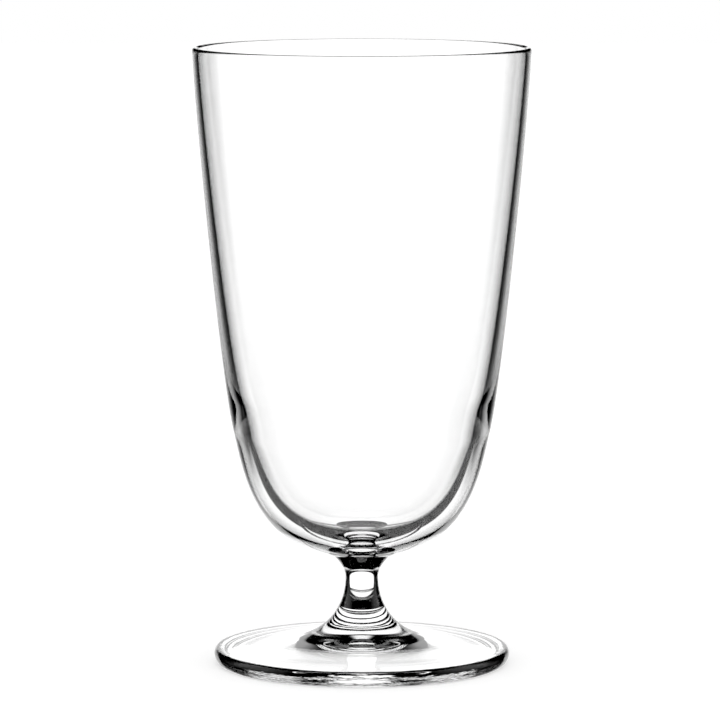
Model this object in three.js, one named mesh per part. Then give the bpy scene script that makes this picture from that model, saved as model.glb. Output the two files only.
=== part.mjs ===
// A clear footed highball glass: a tall blown bowl on a short waisted stem on a round pressed foot.
// Millimetres, +Z up. The origin is on the table, under the middle of the foot.
import * as THREE from "three";

// Foot
const footRadius = 37;
const footEdgeThickness = 4.01; // the edge is fully rounded
const edgeTopReach = 1.23; // how far in from the edge its rounding runs on top
const edgeBaseReach = 1.99; // and underneath
const restRingWidth = 0.8; // flat ring that the glass stands on
const hollowRise = 3.72; // the underside is dished, and this is its height at the axis
const hollowCrownReach = 7.36; // how far the middle of the dish stays level
const hollowEdgeReach = 0.5;
const hollowEdgeRise = 1.08;
const flareRadius = 16.32; // where the flare of the foot runs out on its top
const flareHeight = 6.32;
const flareReach = 2.1;
const flareDrop = 0.35;
const footTopReach = 2.21;

// Stem
const seatRadius = 8.65; // joint between foot and stem
const seatHeight = 10.3;
const seatReachBelow = 1.88;
const seatReachAbove = 3.56;
const waistRadius = 4.09;
const waistLift = 11.14; // above the seat
const waistReachBelow = 3.41;
const waistReachAbove = 2.49;
const stemLength = 17.1;
const crownRadius = 7.5; // joint between stem and bowl
const crownReach = 1.74;

// Bowl
const bowlHeight = 126.6; // from the stem to the top of the rim
const rimRadius = 42;
const rimWall = 1.4;
const rimReach = 16.5;
const rimLean = 0.7; // how far the wall draws in over that reach
const shoulderLift = 30.9; // above the stem
const shoulderRadius = 32;
const shoulderReachAbove = 12;
const shoulderLeanAbove = 3;
const shoulderReachBelow = 7.72;
const shoulderLeanBelow = 1.93;
const undersideReach = 20.25;
const undersideRise = 2.72;
const shoulderWall = 3.77; // level thickness of the glass at the inner shoulder
const innerShoulderRise = 8.29; // the inside rounds in higher up than the outside
const innerReachAbove = 12.1;
const innerLeanAbove = 3.03;
const innerReachBelow = 20.7;
const innerLeanBelow = 5.19;
const baseThickness = 5.03; // glass under the lowest point of the hollow
const innerBaseReach = 22.12;

// Fineness of the turned shapes
const curveSteps = 9;
const turnSteps = 56;

const seamHeight = seatHeight + stemLength;

// The outline of the rounded rim reaches this share of its thickness past its ends.
const roundReach = 2 / 3;

function glassMaterial(color) {
  return new THREE.MeshStandardMaterial({
    color,
    roughness: 0.03,
    metalness: 0,
    transparent: true,
    opacity: 0.35,
  });
}

// Turns an outline of radius and height, which starts and ends on the axis, into a solid about +Z.
function turned(name, outline, color) {
  const geometry = new THREE.LatheGeometry(outline.getPoints(curveSteps), turnSteps);
  geometry.rotateX(Math.PI / 2);
  const mesh = new THREE.Mesh(geometry, glassMaterial(color));
  mesh.name = name;
  return mesh;
}

function makeFoot() {
  const topRadius = footRadius - edgeTopReach;
  const baseRadius = footRadius - edgeBaseReach;
  const restRadius = baseRadius - restRingWidth;
  // Pulls the curve of the edge out far enough for its widest point to lie at the foot's radius
  const edgeRadius = footRadius + (edgeTopReach + edgeBaseReach) / 6;
  const outline = new THREE.Path();
  outline.moveTo(0, hollowRise);
  outline.bezierCurveTo(
    hollowCrownReach, hollowRise,
    restRadius - hollowEdgeReach, hollowEdgeRise,
    restRadius, 0,
  );
  outline.lineTo(baseRadius, 0);
  outline.bezierCurveTo(edgeRadius, 0, edgeRadius, footEdgeThickness, topRadius, footEdgeThickness);
  outline.bezierCurveTo(
    topRadius - footTopReach, footEdgeThickness,
    flareRadius + flareReach, flareHeight - flareDrop,
    flareRadius, flareHeight,
  );
  outline.bezierCurveTo(
    flareRadius - flareReach, flareHeight + flareDrop,
    seatRadius + seatReachBelow, seatHeight - seatReachBelow,
    seatRadius, seatHeight,
  );
  outline.lineTo(0, seatHeight);
  return turned("foot", outline, 0xeef3f2);
}

function makeStem() {
  const waistHeight = seatHeight + waistLift;
  const outline = new THREE.Path();
  outline.moveTo(0, seatHeight);
  outline.lineTo(seatRadius, seatHeight);
  outline.bezierCurveTo(
    seatRadius - seatReachAbove, seatHeight + seatReachAbove,
    waistRadius, waistHeight - waistReachBelow,
    waistRadius, waistHeight,
  );
  outline.bezierCurveTo(
    waistRadius, waistHeight + waistReachAbove,
    crownRadius - crownReach, seamHeight - crownReach,
    crownRadius, seamHeight,
  );
  outline.lineTo(0, seamHeight);
  return turned("stem", outline, 0xf0f4f3);
}

function makeBowl() {
  const lipHeight = seamHeight + bowlHeight - rimWall / 2;
  const lipReach = lipHeight + rimWall * roundReach;
  const shoulderHeight = seamHeight + shoulderLift;
  const innerRimRadius = rimRadius - rimWall;
  const innerShoulderHeight = shoulderHeight + innerShoulderRise;
  const outerRadiusThere = shoulderRadius + (innerShoulderRise * shoulderLeanAbove) / shoulderReachAbove;
  const innerShoulderRadius = outerRadiusThere - shoulderWall;
  const innerBaseHeight = seamHeight + baseThickness;
  const outline = new THREE.Path();
  outline.moveTo(0, seamHeight);
  outline.lineTo(crownRadius, seamHeight);
  outline.bezierCurveTo(
    crownRadius + undersideReach, seamHeight + undersideRise,
    shoulderRadius - shoulderLeanBelow, shoulderHeight - shoulderReachBelow,
    shoulderRadius, shoulderHeight,
  );
  outline.bezierCurveTo(
    shoulderRadius + shoulderLeanAbove, shoulderHeight + shoulderReachAbove,
    rimRadius - rimLean, lipHeight - rimReach,
    rimRadius, lipHeight,
  );
  outline.bezierCurveTo(rimRadius, lipReach, innerRimRadius, lipReach, innerRimRadius, lipHeight);
  outline.bezierCurveTo(
    innerRimRadius - rimLean, lipHeight - rimReach,
    innerShoulderRadius + innerLeanAbove, innerShoulderHeight + innerReachAbove,
    innerShoulderRadius, innerShoulderHeight,
  );
  outline.bezierCurveTo(
    innerShoulderRadius - innerLeanBelow, innerShoulderHeight - innerReachBelow,
    innerBaseReach, innerBaseHeight,
    0, innerBaseHeight,
  );
  return turned("bowl", outline, 0xf2f6f5);
}

const glass = new THREE.Group();
glass.add(makeFoot(), makeStem(), makeBowl());

export default glass;
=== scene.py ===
"""Looks of the footed highball glass: three turned pieces of clear glass in a bright-field studio."""
import math

import bpy
from mathutils import Matrix


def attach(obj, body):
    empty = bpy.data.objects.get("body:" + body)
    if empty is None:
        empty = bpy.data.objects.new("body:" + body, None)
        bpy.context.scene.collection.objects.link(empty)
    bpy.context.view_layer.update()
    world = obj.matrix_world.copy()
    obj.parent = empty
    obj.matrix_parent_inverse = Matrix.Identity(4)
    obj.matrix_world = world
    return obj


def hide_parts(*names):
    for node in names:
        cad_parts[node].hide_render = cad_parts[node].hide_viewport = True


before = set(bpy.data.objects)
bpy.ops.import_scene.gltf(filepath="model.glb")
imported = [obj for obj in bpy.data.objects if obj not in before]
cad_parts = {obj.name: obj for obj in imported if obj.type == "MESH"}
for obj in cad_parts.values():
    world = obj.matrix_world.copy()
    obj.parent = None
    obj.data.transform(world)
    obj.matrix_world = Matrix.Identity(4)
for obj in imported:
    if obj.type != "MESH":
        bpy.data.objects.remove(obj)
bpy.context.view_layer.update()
scene = bpy.context.scene

MM = 0.001

# Foot, millimetres
FOOT_RADIUS = 37.0
FOOT_EDGE = 4.01
EDGE_TOP_REACH = 1.23
EDGE_BASE_REACH = 1.99
REST_RING_WIDTH = 0.8
HOLLOW_RISE = 3.72
HOLLOW_CROWN_REACH = 7.36
HOLLOW_EDGE_REACH = 0.5
HOLLOW_EDGE_RISE = 1.08
FLARE_RADIUS = 16.32
FLARE_HEIGHT = 6.32
FLARE_REACH = 2.1
FLARE_DROP = 0.35
FOOT_TOP_REACH = 2.21

# Stem, millimetres
SEAT_RADIUS = 8.65
SEAT_HEIGHT = 10.3
SEAT_REACH_BELOW = 1.88
SEAT_REACH_ABOVE = 3.56
WAIST_RADIUS = 4.09
WAIST_LIFT = 11.14
WAIST_REACH_BELOW = 3.41
WAIST_REACH_ABOVE = 2.49
STEM_LENGTH = 17.1
CROWN_RADIUS = 7.5
CROWN_REACH = 1.74

# Bowl, millimetres
BOWL_HEIGHT = 126.6
RIM_RADIUS = 42.0
RIM_WALL = 1.4
RIM_REACH = 16.5
RIM_LEAN = 0.7
SHOULDER_LIFT = 30.9
SHOULDER_RADIUS = 32.0
SHOULDER_REACH_ABOVE = 12.0
SHOULDER_LEAN_ABOVE = 3.0
SHOULDER_REACH_BELOW = 7.72
SHOULDER_LEAN_BELOW = 1.93
UNDERSIDE_REACH = 20.25
UNDERSIDE_RISE = 2.72
SHOULDER_WALL = 3.77
INNER_SHOULDER_RISE = 8.29
INNER_REACH_ABOVE = 12.1
INNER_LEAN_ABOVE = 3.03
INNER_REACH_BELOW = 20.7
INNER_LEAN_BELOW = 5.19
BASE_THICKNESS = 5.03
INNER_BASE_REACH = 22.12

# The outline of the rounded rim reaches this share of its thickness past its ends
ROUND_REACH = 2 / 3
SEAM_HEIGHT = SEAT_HEIGHT + STEM_LENGTH

# Fineness of the turned meshes
CURVE_STEPS = 40
RING_STEPS = 4
TURN_STEPS = 192
ON_AXIS = 1e-9

GLASS_IOR = 1.52


def curve(*points):
    """Points along one cubic curve of radius and height."""
    start, first, second, end = points
    stretch = []
    for step in range(CURVE_STEPS + 1):
        t = step / CURVE_STEPS
        weights = ((1 - t) ** 3, 3 * t * (1 - t) ** 2, 3 * t * t * (1 - t), t ** 3)
        stretch.append(tuple(
            sum(w * p[axis] for w, p in zip(weights, (start, first, second, end)))
            for axis in (0, 1)
        ))
    return stretch


def line(start, end):
    """Points along one straight stretch."""
    return [
        tuple(a + (b - a) * step / RING_STEPS for a, b in zip(start, end))
        for step in range(RING_STEPS + 1)
    ]


def joined(*stretches):
    """One outline from stretches that meet end to end."""
    outline = list(stretches[0])
    for stretch in stretches[1:]:
        outline += stretch[1:]
    return outline


def foot_outline():
    """Foot from the middle of its dished underside round the edge to the seat of the stem."""
    top_radius = FOOT_RADIUS - EDGE_TOP_REACH
    base_radius = FOOT_RADIUS - EDGE_BASE_REACH
    rest_radius = base_radius - REST_RING_WIDTH
    # Pulls the curve of the edge out far enough for its widest point to lie at the foot's radius
    edge_radius = FOOT_RADIUS + (EDGE_TOP_REACH + EDGE_BASE_REACH) / 6
    return joined(
        curve((0, HOLLOW_RISE), (HOLLOW_CROWN_REACH, HOLLOW_RISE),
              (rest_radius - HOLLOW_EDGE_REACH, HOLLOW_EDGE_RISE), (rest_radius, 0)),
        line((rest_radius, 0), (base_radius, 0)),
        curve((base_radius, 0), (edge_radius, 0),
              (edge_radius, FOOT_EDGE), (top_radius, FOOT_EDGE)),
        curve((top_radius, FOOT_EDGE), (top_radius - FOOT_TOP_REACH, FOOT_EDGE),
              (FLARE_RADIUS + FLARE_REACH, FLARE_HEIGHT - FLARE_DROP), (FLARE_RADIUS, FLARE_HEIGHT)),
        curve((FLARE_RADIUS, FLARE_HEIGHT), (FLARE_RADIUS - FLARE_REACH, FLARE_HEIGHT + FLARE_DROP),
              (SEAT_RADIUS + SEAT_REACH_BELOW, SEAT_HEIGHT - SEAT_REACH_BELOW), (SEAT_RADIUS, SEAT_HEIGHT)),
    )


def stem_outline():
    """Stem from its seat on the foot past the waist to the bowl."""
    waist_height = SEAT_HEIGHT + WAIST_LIFT
    return joined(
        curve((SEAT_RADIUS, SEAT_HEIGHT),
              (SEAT_RADIUS - SEAT_REACH_ABOVE, SEAT_HEIGHT + SEAT_REACH_ABOVE),
              (WAIST_RADIUS, waist_height - WAIST_REACH_BELOW), (WAIST_RADIUS, waist_height)),
        curve((WAIST_RADIUS, waist_height), (WAIST_RADIUS, waist_height + WAIST_REACH_ABOVE),
              (CROWN_RADIUS - CROWN_REACH, SEAM_HEIGHT - CROWN_REACH), (CROWN_RADIUS, SEAM_HEIGHT)),
    )


def bowl_outline():
    """Bowl from the stem up its outside, over the rim and down its inside to the axis."""
    lip_height = SEAM_HEIGHT + BOWL_HEIGHT - RIM_WALL / 2
    lip_reach = lip_height + RIM_WALL * ROUND_REACH
    shoulder_height = SEAM_HEIGHT + SHOULDER_LIFT
    inner_rim = RIM_RADIUS - RIM_WALL
    inner_height = shoulder_height + INNER_SHOULDER_RISE
    outer_there = SHOULDER_RADIUS + INNER_SHOULDER_RISE * SHOULDER_LEAN_ABOVE / SHOULDER_REACH_ABOVE
    inner_shoulder = outer_there - SHOULDER_WALL
    inner_base = SEAM_HEIGHT + BASE_THICKNESS
    return joined(
        curve((CROWN_RADIUS, SEAM_HEIGHT),
              (CROWN_RADIUS + UNDERSIDE_REACH, SEAM_HEIGHT + UNDERSIDE_RISE),
              (SHOULDER_RADIUS - SHOULDER_LEAN_BELOW, shoulder_height - SHOULDER_REACH_BELOW),
              (SHOULDER_RADIUS, shoulder_height)),
        curve((SHOULDER_RADIUS, shoulder_height),
              (SHOULDER_RADIUS + SHOULDER_LEAN_ABOVE, shoulder_height + SHOULDER_REACH_ABOVE),
              (RIM_RADIUS - RIM_LEAN, lip_height - RIM_REACH), (RIM_RADIUS, lip_height)),
        curve((RIM_RADIUS, lip_height), (RIM_RADIUS, lip_reach),
              (inner_rim, lip_reach), (inner_rim, lip_height)),
        curve((inner_rim, lip_height), (inner_rim - RIM_LEAN, lip_height - RIM_REACH),
              (inner_shoulder + INNER_LEAN_ABOVE, inner_height + INNER_REACH_ABOVE),
              (inner_shoulder, inner_height)),
        curve((inner_shoulder, inner_height),
              (inner_shoulder - INNER_LEAN_BELOW, inner_height - INNER_REACH_BELOW),
              (INNER_BASE_REACH, inner_base), (0, inner_base)),
    )


def turned_shell(name, outline, node, material, wave=None):
    """Turns an outline about +Z. The pieces share their end rings: fused glass has no inner faces."""
    verts, faces, rings = [], [], []
    for radius, height in outline:
        if radius < ON_AXIS:
            rings.append([len(verts)])
            verts.append((0.0, 0.0, height * MM))
            continue
        rings.append(range(len(verts), len(verts) + TURN_STEPS))
        for step in range(TURN_STEPS):
            angle = 2 * math.pi * step / TURN_STEPS
            up = wave(radius, height, angle) if wave else 0.0
            verts.append((radius * MM * math.cos(angle), radius * MM * math.sin(angle), (height + up) * MM))
    for low, high in zip(rings, rings[1:]):
        for step in range(TURN_STEPS):
            following = (step + 1) % TURN_STEPS
            if len(low) == 1:
                faces.append((low[0], high[following], high[step]))
            elif len(high) == 1:
                faces.append((low[step], low[following], high[0]))
            else:
                faces.append((low[step], low[following], high[following], high[step]))
    mesh = bpy.data.meshes.new(name)
    mesh.from_pydata(verts, [], faces)
    mesh.update()
    mesh.polygons.foreach_set("use_smooth", [True] * len(mesh.polygons))
    mesh.materials.append(material)
    piece = bpy.data.objects.new(name, mesh)
    scene.collection.objects.link(piece)
    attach(piece, "root")
    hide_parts(node)


def group(name, inputs, outputs):
    """A shader node group with named inputs and outputs; returns its tree and its two end nodes."""
    tree = bpy.data.node_groups.new(name, "ShaderNodeTree")
    for label, kind, value in inputs:
        socket = tree.interface.new_socket(label, in_out="INPUT", socket_type=kind)
        socket.default_value = value
    for label, kind in outputs:
        tree.interface.new_socket(label, in_out="OUTPUT", socket_type=kind)
    return tree, tree.nodes.new("NodeGroupInput"), tree.nodes.new("NodeGroupOutput")


def value_node(tree, operation, first, second=None):
    """One sum on one or two numbers or links; returns its result socket."""
    node = tree.nodes.new("ShaderNodeMath")
    node.operation = operation
    for place, item in enumerate((first, second)):
        if isinstance(item, (int, float)):
            node.inputs[place].default_value = item
        elif item is not None:
            tree.links.new(item, node.inputs[place])
    return node.outputs["Value"]


def soft_step(tree, value, low, high, at_low=0.0, at_high=1.0):
    """A smooth change from at_low to at_high as the value goes from low to high."""
    node = tree.nodes.new("ShaderNodeMapRange")
    node.interpolation_type = "SMOOTHSTEP"
    for label, item in (("Value", value), ("From Min", low), ("From Max", high),
                        ("To Min", at_low), ("To Max", at_high)):
        if isinstance(item, (int, float)):
            node.inputs[label].default_value = item
        else:
            tree.links.new(item, node.inputs[label])
    return node.outputs["Result"]


def noise(tree, place, size, detail):
    """Soft noise with patches of a size, in the units of the place."""
    node = tree.nodes.new("ShaderNodeTexNoise")
    node.inputs["Detail"].default_value = detail
    tree.links.new(place, node.inputs["Vector"])
    if isinstance(size, (int, float)):
        node.inputs["Scale"].default_value = 1 / size
    else:
        tree.links.new(value_node(tree, "DIVIDE", 1.0, size), node.inputs["Scale"])
    return node.outputs["Fac"]


def distance(tree, across, along):
    """Distance of a place from the middle, from its two parts square to each other."""
    squares = value_node(tree, "ADD", value_node(tree, "MULTIPLY", across, across),
                         value_node(tree, "MULTIPLY", along, along))
    return value_node(tree, "SQRT", squares)


def stretched(tree, along, across):
    """Object coordinates for a grain drawn out round the axis: level places in lengths along the grain,
    radius and height together in lengths across it."""
    place = tree.nodes.new("ShaderNodeTexCoord").outputs["Object"]
    parts = tree.nodes.new("ShaderNodeSeparateXYZ")
    tree.links.new(place, parts.inputs["Vector"])
    east, north, height = (parts.outputs[axis] for axis in "XYZ")
    radius = distance(tree, east, north)
    scaled = tree.nodes.new("ShaderNodeCombineXYZ")
    tree.links.new(value_node(tree, "DIVIDE", east, along), scaled.inputs["X"])
    tree.links.new(value_node(tree, "DIVIDE", north, along), scaled.inputs["Y"])
    rise = value_node(tree, "ADD", radius, height)
    tree.links.new(value_node(tree, "DIVIDE", rise, across), scaled.inputs["Z"])
    return scaled.outputs["Vector"]


# Detail of the noise, and the stretches of it over which patches and streaks come in
WAVE_DETAIL = 1.5
PATCH_DETAIL = 2.0
PATCH_RANGE = (0.5, 0.75)
STREAK_DETAIL = 2.0
STREAK_RANGE = (0.35, 0.7)


def skin_waves_group():
    """Faint waves that the cooling skin of worked glass keeps, drawn out round the axis."""
    tree, start, end = group(
        "skin waves",
        (("Along", "NodeSocketFloat", 0.02), ("Across", "NodeSocketFloat", 0.003)),
        (("Height", "NodeSocketFloat"),),
    )
    place = stretched(tree, start.outputs["Along"], start.outputs["Across"])
    tree.links.new(noise(tree, place, 1.0, WAVE_DETAIL), end.inputs["Height"])
    return tree


def fire_polish_group():
    """How evenly the flame polished the surface: a mirror gloss with a trace of softness in patches."""
    tree, start, end = group(
        "fire polish",
        (("Patch Size", "NodeSocketFloat", 0.012), ("Gloss", "NodeSocketFloat", 0.0),
         ("Softest", "NodeSocketFloat", 0.004)),
        (("Roughness", "NodeSocketFloat"),),
    )
    place = tree.nodes.new("ShaderNodeTexCoord").outputs["Object"]
    patches = noise(tree, place, start.outputs["Patch Size"], PATCH_DETAIL)
    roughness = soft_step(tree, patches, *PATCH_RANGE, start.outputs["Gloss"], start.outputs["Softest"])
    tree.links.new(roughness, end.inputs["Roughness"])
    return tree


def melt_colour_group():
    """Colour of the clear melt, a little uneven from streaks in the batch."""
    tree, start, end = group(
        "melt colour",
        (("Clear", "NodeSocketColor", (1, 1, 1, 1)),
         ("Streak", "NodeSocketColor", (0.98, 0.98, 0.98, 1)),
         ("Streak Size", "NodeSocketFloat", 0.02)),
        (("Colour", "NodeSocketColor"),),
    )
    place = tree.nodes.new("ShaderNodeTexCoord").outputs["Object"]
    blend = tree.nodes.new("ShaderNodeMix")
    blend.data_type = "RGBA"
    streaks = noise(tree, place, start.outputs["Streak Size"], STREAK_DETAIL)
    tree.links.new(soft_step(tree, streaks, *STREAK_RANGE), blend.inputs["Factor"])
    tree.links.new(start.outputs["Clear"], blend.inputs["A"])
    tree.links.new(start.outputs["Streak"], blend.inputs["B"])
    tree.links.new(blend.outputs["Result"], end.inputs["Colour"])
    return tree


SKIN_WAVES = skin_waves_group()
FIRE_POLISH = fire_polish_group()
MELT_COLOUR = melt_colour_group()


def placed(tree, node_group, values):
    """Places a node group in a material with its own values."""
    node = tree.nodes.new("ShaderNodeGroup")
    node.node_tree = node_group
    for label, value in values.items():
        node.inputs[label].default_value = value
    return node


def clear_glass(name, streak, patch, softest, along, across, wave_height):
    """Clear glass with its own streaks, polish and skin waves; lengths in metres."""
    material = bpy.data.materials.new(name)
    material.use_nodes = True
    tree = material.node_tree
    shader = tree.nodes["Principled BSDF"]
    shader.inputs["Transmission Weight"].default_value = 1.0
    shader.inputs["IOR"].default_value = GLASS_IOR
    colour = placed(tree, MELT_COLOUR, {"Streak": (streak, streak, streak, 1)})
    tree.links.new(colour.outputs["Colour"], shader.inputs["Base Color"])
    polish = placed(tree, FIRE_POLISH, {"Patch Size": patch, "Softest": softest})
    tree.links.new(polish.outputs["Roughness"], shader.inputs["Roughness"])
    waves = placed(tree, SKIN_WAVES, {"Along": along, "Across": across})
    bump = tree.nodes.new("ShaderNodeBump")
    bump.inputs["Distance"].default_value = wave_height
    tree.links.new(waves.outputs["Height"], bump.inputs["Height"])
    tree.links.new(bump.outputs["Normal"], shader.inputs["Normal"])
    return material


# The skin waves of the foot grow over this stretch of radius, metres, from this share of their height
CHILL_REACH = (0.0325, 0.0358)
CALM_SHARE = 0.02


def chilled_edge(material):
    """Strengthens the skin waves of the foot towards its edge, where the mould chilled it."""
    tree = material.node_tree
    bump = tree.nodes["Bump"]
    waves = bump.inputs["Height"].links[0].from_socket
    parts = tree.nodes.new("ShaderNodeSeparateXYZ")
    tree.links.new(tree.nodes.new("ShaderNodeTexCoord").outputs["Object"], parts.inputs["Vector"])
    radius = distance(tree, parts.outputs["X"], parts.outputs["Y"])
    share = soft_step(tree, radius, *CHILL_REACH, CALM_SHARE, 1.0)
    tree.links.new(value_node(tree, "MULTIPLY", waves, share), bump.inputs["Height"])


PRESSED_GLASS = clear_glass("pressed foot glass", streak=0.985, patch=0.006, softest=0.006,
                            along=0.003, across=0.0004, wave_height=0.00006)
DRAWN_GLASS = clear_glass("drawn stem glass", streak=0.985, patch=0.004, softest=0.004,
                          along=0.006, across=0.004, wave_height=0.000002)
BLOWN_GLASS = clear_glass("blown bowl glass", streak=0.99, patch=0.015, softest=0.003,
                          along=0.03, across=0.012, wave_height=0.000004)
chilled_edge(PRESSED_GLASS)

# Chill marks of the pressed foot: shallow rings that wander near its edge, millimetres
CHILL_START = 29.0
CHILL_FULL = 34.5
CHILL_DEPTH = 0.012
CHILL_PERIOD = 2.3
CHILL_FLOOR = 0.3
# They come and go round the edge: mean share of the depth, number of clumps, turn in radians
CHILL_MEAN = 0.55
CHILL_CLUMPS = 5
CHILL_TURN = 0.7
# Their wander: waves round the edge, each with its count, turn and reach in radians
CHILL_WANDER = ((3, 0.9, 1.1), (7, 2.3, 0.6), (11, 4.0, 0.35))


def chill_marks(radius, height, angle):
    """How far the foot's skin lies above its outline at a place."""
    share = min(max((radius - CHILL_START) / (CHILL_FULL - CHILL_START), 0.0), 1.0)
    if share == 0.0 or height < CHILL_FLOOR:
        return 0.0
    wander = sum(reach * math.sin(count * angle + turn) for count, turn, reach in CHILL_WANDER)
    depth = CHILL_DEPTH * share * share * (3 - 2 * share)
    depth *= CHILL_MEAN + (1 - CHILL_MEAN) * math.sin(CHILL_CLUMPS * angle + CHILL_TURN + wander)
    return depth * math.sin(2 * math.pi * (radius + height) / CHILL_PERIOD + wander)


turned_shell("glass_foot", foot_outline(), "foot", PRESSED_GLASS, chill_marks)
turned_shell("glass_stem", stem_outline(), "stem", DRAWN_GLASS)
turned_shell("glass_bowl", bowl_outline(), "bowl", BLOWN_GLASS)

# Camera at the photograph's viewing angle, looking a little down
CAMERA_PLACE = (-0.00045, -1.164, 0.21493)
CAMERA_TILT = 6.80
CAMERA_LENS = 235.35
CAMERA_SENSOR = 36
CAMERA_NEAR = 0.01

camera_data = bpy.data.cameras.new("camera")
camera_data.sensor_width = CAMERA_SENSOR
camera_data.lens = CAMERA_LENS
camera_data.clip_start = CAMERA_NEAR
camera = bpy.data.objects.new("camera", camera_data)
scene.collection.objects.link(camera)
camera.location = CAMERA_PLACE
camera.rotation_euler = (math.radians(90 - CAMERA_TILT), 0, 0)
scene.camera = camera

# Studio, metres. The set goes round the glass with the camera, so the glass is lit alike from every side.
# Each fade is where a board's cover or light starts to change and where it ends.
SET_PIVOT = (0, 0, 0.08)
GLOW_BACK = 0.5
GLOW_LEVEL = 1.26
GLOW_HALF_WIDTH = 0.412
GLOW_HALF_HEIGHT = 0.342
GLOW_MIDDLE = -0.11
GLOW_FEATHER = 0.866
STRIP_FADE = (0.03, 0.09)
STRIP_REACH = (0.27, 0.42)
FLAG_BACK = 0.08
FLAG_INNER_FADE = (0.041, 0.085)
FLAG_OUTER_FADE = (0.157, 0.297)
FLAG_FOOT_FADE = (-0.012, 0.02)
FLAG_TOP = 0.32
SHEET_RADIUS = 0.3
SHEET_FOOT_FADE = (-0.068, 0.082)
SHEET_TOP = 0.3
# Levels of the pale sheets by degrees from straight behind the glass
SHEET_LEVELS = ((52, 0.0), (62, 0.7), (75, 1.1), (100, 0.9), (125, 0.0), (180, 0.0))
SHEET_STEP = 4
FLOOR_HALF = 3.0
FLOOR_COLOUR = (0.8, 0.8, 0.8, 1)
FLOOR_GLOW = (0.56, 0.56, 0.56, 1)
ROOM_DARK = (0.0, 0.0, 0.0, 1)
ROOM_LIGHT = (0.7, 0.7, 0.7, 1)
ROOM_WHITE = (1, 1, 1, 1)

turntable = bpy.data.objects.new("studio_turntable", None)
scene.collection.objects.link(turntable)
turntable.location = SET_PIVOT
turntable.constraints.new("COPY_ROTATION").target = camera
set_at_rest = Matrix.Translation(SET_PIVOT) @ camera.rotation_euler.to_matrix().to_4x4()


def stage_material(name):
    """An empty material with its output and the place on the board as east, north and height."""
    material = bpy.data.materials.new(name)
    material.use_nodes = True
    tree = material.node_tree
    tree.nodes.clear()
    parts = tree.nodes.new("ShaderNodeSeparateXYZ")
    tree.links.new(tree.nodes.new("ShaderNodeTexCoord").outputs["Object"], parts.inputs["Vector"])
    surface = tree.nodes.new("ShaderNodeOutputMaterial").inputs["Surface"]
    return material, tree, surface, [parts.outputs[axis] for axis in "XYZ"]


def glow_material():
    """An oval pool of light on the backdrop, soft at its edge."""
    material, tree, surface, (east, _, height) = stage_material("backdrop glow")
    across = value_node(tree, "DIVIDE", east, GLOW_HALF_WIDTH)
    up = value_node(tree, "DIVIDE", value_node(tree, "SUBTRACT", height, GLOW_MIDDLE), GLOW_HALF_HEIGHT)
    reach = distance(tree, across, up)
    glow = tree.nodes.new("ShaderNodeEmission")
    tree.links.new(soft_step(tree, reach, GLOW_FEATHER, 1.0, GLOW_LEVEL, 0.0), glow.inputs["Strength"])
    tree.links.new(glow.outputs["Emission"], surface)
    return material


def strip_material():
    """A strip of light above the pool, which the top of the foot mirrors."""
    material, tree, surface, (east, _, _) = stage_material("strip glow")
    glow = tree.nodes.new("ShaderNodeEmission")
    out = value_node(tree, "ABSOLUTE", east)
    tree.links.new(soft_step(tree, out, *STRIP_FADE, 1.0, 0.0), glow.inputs["Strength"])
    tree.links.new(glow.outputs["Emission"], surface)
    return material


def flag_material():
    """Black net beside the bowl, feathered at its edges."""
    material, tree, surface, (east, _, height) = stage_material("feathered flag")
    out = value_node(tree, "ABSOLUTE", east)
    cover = value_node(tree, "MULTIPLY", soft_step(tree, out, *FLAG_INNER_FADE),
                       soft_step(tree, out, *FLAG_OUTER_FADE, 1.0, 0.0))
    cover = value_node(tree, "MULTIPLY", cover, soft_step(tree, height, *FLAG_FOOT_FADE))
    black = tree.nodes.new("ShaderNodeEmission")
    black.inputs["Strength"].default_value = 0.0
    mix = tree.nodes.new("ShaderNodeMixShader")
    tree.links.new(cover, mix.inputs["Fac"])
    tree.links.new(tree.nodes.new("ShaderNodeBsdfTransparent").outputs["BSDF"], mix.inputs[1])
    tree.links.new(black.outputs["Emission"], mix.inputs[2])
    tree.links.new(mix.outputs["Shader"], surface)
    return material


def sheet_material():
    """Pale sheets round the glass, which shine at its sides and fade out towards the front."""
    material, tree, surface, (east, north, height) = stage_material("pale sheets")
    turn = value_node(tree, "ARCTAN2", value_node(tree, "ABSOLUTE", east), north)
    ramp = tree.nodes.new("ShaderNodeValToRGB")
    tree.links.new(value_node(tree, "DIVIDE", turn, math.pi), ramp.inputs["Fac"])
    stops = ramp.color_ramp.elements
    while len(stops) < len(SHEET_LEVELS):
        stops.new(0.5)
    for stop, (degrees, level) in zip(stops, SHEET_LEVELS):
        stop.position = degrees / 180
        stop.color = (level, level, level, 1)
    glow = tree.nodes.new("ShaderNodeEmission")
    tree.links.new(ramp.outputs["Color"], glow.inputs["Color"])
    tree.links.new(soft_step(tree, height, *SHEET_FOOT_FADE), glow.inputs["Strength"])
    tree.links.new(glow.outputs["Emission"], surface)
    return material


def board(name, path, low, high, material):
    """An upright board along a path, which only the glass sees, in its reflections and through it."""
    count = len(path)
    mesh = bpy.data.meshes.new(name)
    mesh.from_pydata([(x, y, z) for z in (low, high) for x, y in path], [],
                     [(i, i + 1, count + i + 1, count + i) for i in range(count - 1)])
    mesh.materials.append(material)
    upright = bpy.data.objects.new(name, mesh)
    scene.collection.objects.link(upright)
    upright.parent = turntable
    upright.matrix_parent_inverse = set_at_rest.inverted()
    upright.visible_camera = False
    upright.visible_diffuse = False
    upright.visible_shadow = False


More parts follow.
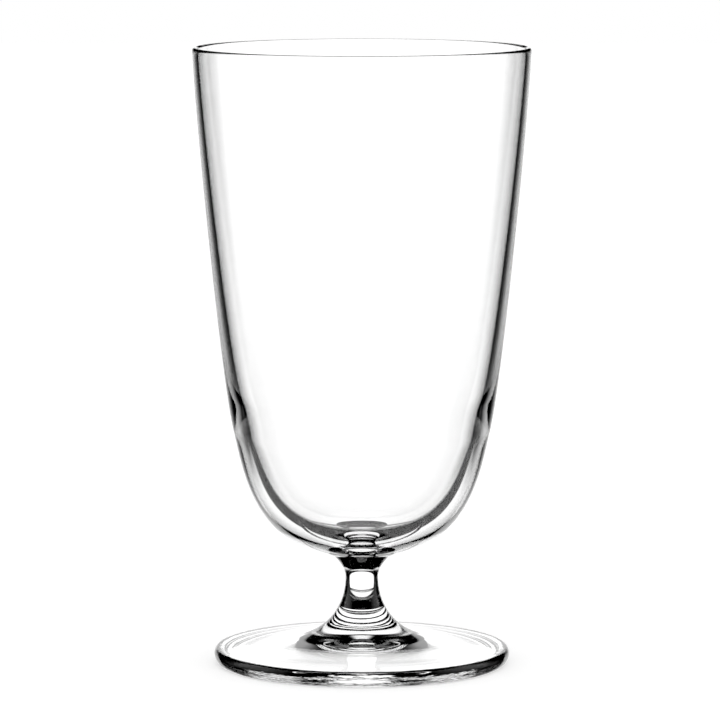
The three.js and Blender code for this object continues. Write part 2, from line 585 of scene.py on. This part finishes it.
board("backdrop_glow", [(-GLOW_HALF_WIDTH, GLOW_BACK), (GLOW_HALF_WIDTH, GLOW_BACK)],
      GLOW_MIDDLE - GLOW_HALF_HEIGHT, GLOW_MIDDLE + GLOW_HALF_HEIGHT, glow_material())
board("strip_glow", [(-STRIP_FADE[1], GLOW_BACK), (STRIP_FADE[1], GLOW_BACK)],
      *STRIP_REACH, strip_material())
board("feathered_flags", [(-FLAG_OUTER_FADE[1], FLAG_BACK), (FLAG_OUTER_FADE[1], FLAG_BACK)],
      FLAG_FOOT_FADE[0], FLAG_TOP, flag_material())
board("pale_sheets",
      [(SHEET_RADIUS * math.sin(math.radians(turn)), SHEET_RADIUS * math.cos(math.radians(turn)))
       for turn in range(SHEET_LEVELS[0][0], 361 - SHEET_LEVELS[0][0], SHEET_STEP)],
      SHEET_FOOT_FADE[0], SHEET_TOP, sheet_material())


def floor_material():
    """White to the camera with the soft shadow that the object leaves on it."""
    material = bpy.data.materials.new("pale floor")
    material.use_nodes = True
    tree = material.node_tree
    tree.nodes.clear()
    paths = tree.nodes.new("ShaderNodeLightPath")
    glow = tree.nodes.new("ShaderNodeEmission")
    matt = tree.nodes.new("ShaderNodeBsdfDiffuse")
    mix = tree.nodes.new("ShaderNodeMixShader")
    both = tree.nodes.new("ShaderNodeAddShader")
    out = tree.nodes.new("ShaderNodeOutputMaterial")
    matt.inputs["Color"].default_value = FLOOR_COLOUR
    glow.inputs["Color"].default_value = FLOOR_GLOW
    tree.links.new(glow.outputs["Emission"], both.inputs[0])
    tree.links.new(matt.outputs["BSDF"], both.inputs[1])
    tree.links.new(paths.outputs["Is Camera Ray"], mix.inputs["Fac"])
    tree.links.new(matt.outputs["BSDF"], mix.inputs[1])
    tree.links.new(both.outputs["Shader"], mix.inputs[2])
    tree.links.new(mix.outputs["Shader"], out.inputs["Surface"])
    return material


floor_mesh = bpy.data.meshes.new("floor")
floor_mesh.from_pydata(
    [(-FLOOR_HALF, -FLOOR_HALF, 0), (FLOOR_HALF, -FLOOR_HALF, 0),
     (FLOOR_HALF, FLOOR_HALF, 0), (-FLOOR_HALF, FLOOR_HALF, 0)],
    [], [(0, 1, 2, 3)],
)
floor_mesh.materials.append(floor_material())
floor = bpy.data.objects.new("floor", floor_mesh)
scene.collection.objects.link(floor)
floor.visible_glossy = False
floor.visible_transmission = False

# World: white behind everything for the camera, a soft plain light for the floor, dark in the glass
world = bpy.data.worlds.new("studio")
world.use_nodes = True
scene.world = world
tree = world.node_tree
tree.nodes.clear()
paths = tree.nodes.new("ShaderNodeLightPath")
background = tree.nodes.new("ShaderNodeBackground")
room = tree.nodes.new("ShaderNodeMix")
room.data_type = "RGBA"
seen = tree.nodes.new("ShaderNodeMix")
seen.data_type = "RGBA"
out = tree.nodes.new("ShaderNodeOutputWorld")
room.inputs["A"].default_value = ROOM_DARK
room.inputs["B"].default_value = ROOM_LIGHT
seen.inputs["B"].default_value = ROOM_WHITE
tree.links.new(paths.outputs["Is Diffuse Ray"], room.inputs["Factor"])
tree.links.new(room.outputs["Result"], seen.inputs["A"])
tree.links.new(paths.outputs["Is Camera Ray"], seen.inputs["Factor"])
tree.links.new(seen.outputs["Result"], background.inputs["Color"])
tree.links.new(background.outputs["Background"], out.inputs["Surface"])

scene.view_settings.view_transform = "Standard"
